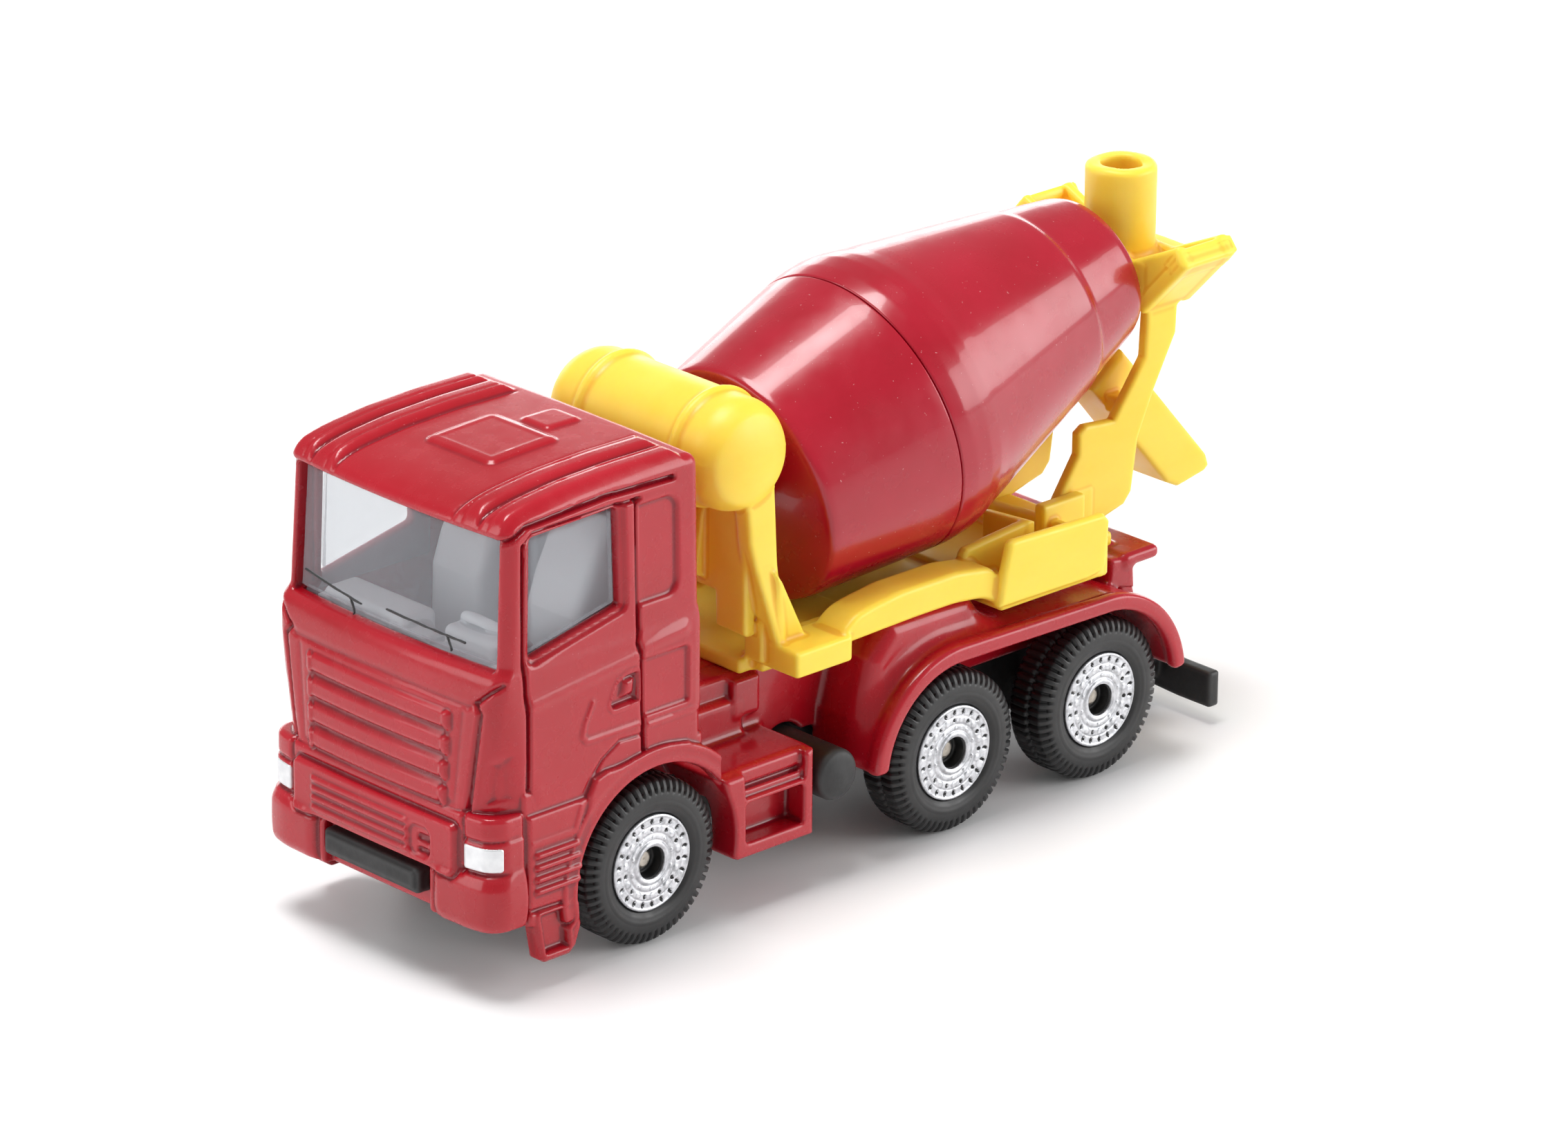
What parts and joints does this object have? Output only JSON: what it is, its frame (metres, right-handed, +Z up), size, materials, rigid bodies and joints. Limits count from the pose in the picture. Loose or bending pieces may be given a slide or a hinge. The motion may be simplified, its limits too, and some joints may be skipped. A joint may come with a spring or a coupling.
{
  "type": "toy cement mixer truck",
  "caption": "Pocket-size die-cast toy cement mixer truck with a red cab and chassis, yellow mixer frame and chute, a drum that turns by hand and free-rolling wheels.",
  "frame": {"origin": "on the surface the wheels stand on, below the middle of the overall length and on the centre plane", "axes": "+X towards the front of the cab, +Y towards the truck's left side, +Z up"},
  "size_m": [0.0845, 0.0258, 0.0436],
  "materials": {
    "red_enamel": "thick glossy enamel on a zinc casting",
    "base_plastic": "semi-matte black plastic",
    "glazing": "clear moulded plastic with printed wipers",
    "interior_plastic": "light grey plastic",
    "yellow_plastic": "satin yellow plastic",
    "drum_plastic": "glossy dark red plastic",
    "axle_steel": "drawn steel wire",
    "wheel_plastic": "semi-matte hard black plastic",
    "hub_foil": "hot-stamped silver foil"
  },
  "bodies": {
    "chassis": {"body_casting": "red_enamel", "base_plate": "base_plastic", "window_glazing": "glazing", "cab_interior": "interior_plastic", "mixer_frame": "yellow_plastic", "hopper_unit": "yellow_plastic", "discharge_chute": "yellow_plastic"},
    "drum": {"drum_front_half": "drum_plastic", "drum_rear_half": "drum_plastic"},
    "front_wheelset": {"front_axle": "axle_steel", "front_wheel_left": "wheel_plastic", "front_wheel_right": "wheel_plastic", "front_hub_print_left": "hub_foil", "front_hub_print_right": "hub_foil"},
    "middle_wheelset": {"middle_axle": "axle_steel", "middle_wheel_left": "wheel_plastic", "middle_wheel_right": "wheel_plastic", "middle_hub_print_left": "hub_foil", "middle_hub_print_right": "hub_foil"},
    "rear_wheelset": {"rear_axle": "axle_steel", "rear_wheel_left": "wheel_plastic", "rear_wheel_right": "wheel_plastic", "rear_hub_print_left": "hub_foil", "rear_hub_print_right": "hub_foil"}
  },
  "joints": [
    {"name": "drum_spin", "type": "hinge", "parent": "chassis", "child": "drum", "pos_m": [-0.0054, 0, 0.03], "axis": [-0.9732, 0, 0.23], "continuous": true},
    {"name": "front_wheels_roll", "type": "hinge", "parent": "chassis", "child": "front_wheelset", "pos_m": [0.0256, 0, 0.0064], "axis": [0, 1, 0], "continuous": true},
    {"name": "middle_wheels_roll", "type": "hinge", "parent": "chassis", "child": "middle_wheelset", "pos_m": [-0.005, 0, 0.0064], "axis": [0, 1, 0], "continuous": true},
    {"name": "rear_wheels_roll", "type": "hinge", "parent": "chassis", "child": "rear_wheelset", "pos_m": [-0.0205, 0, 0.0064], "axis": [0, 1, 0], "continuous": true}
  ]
}
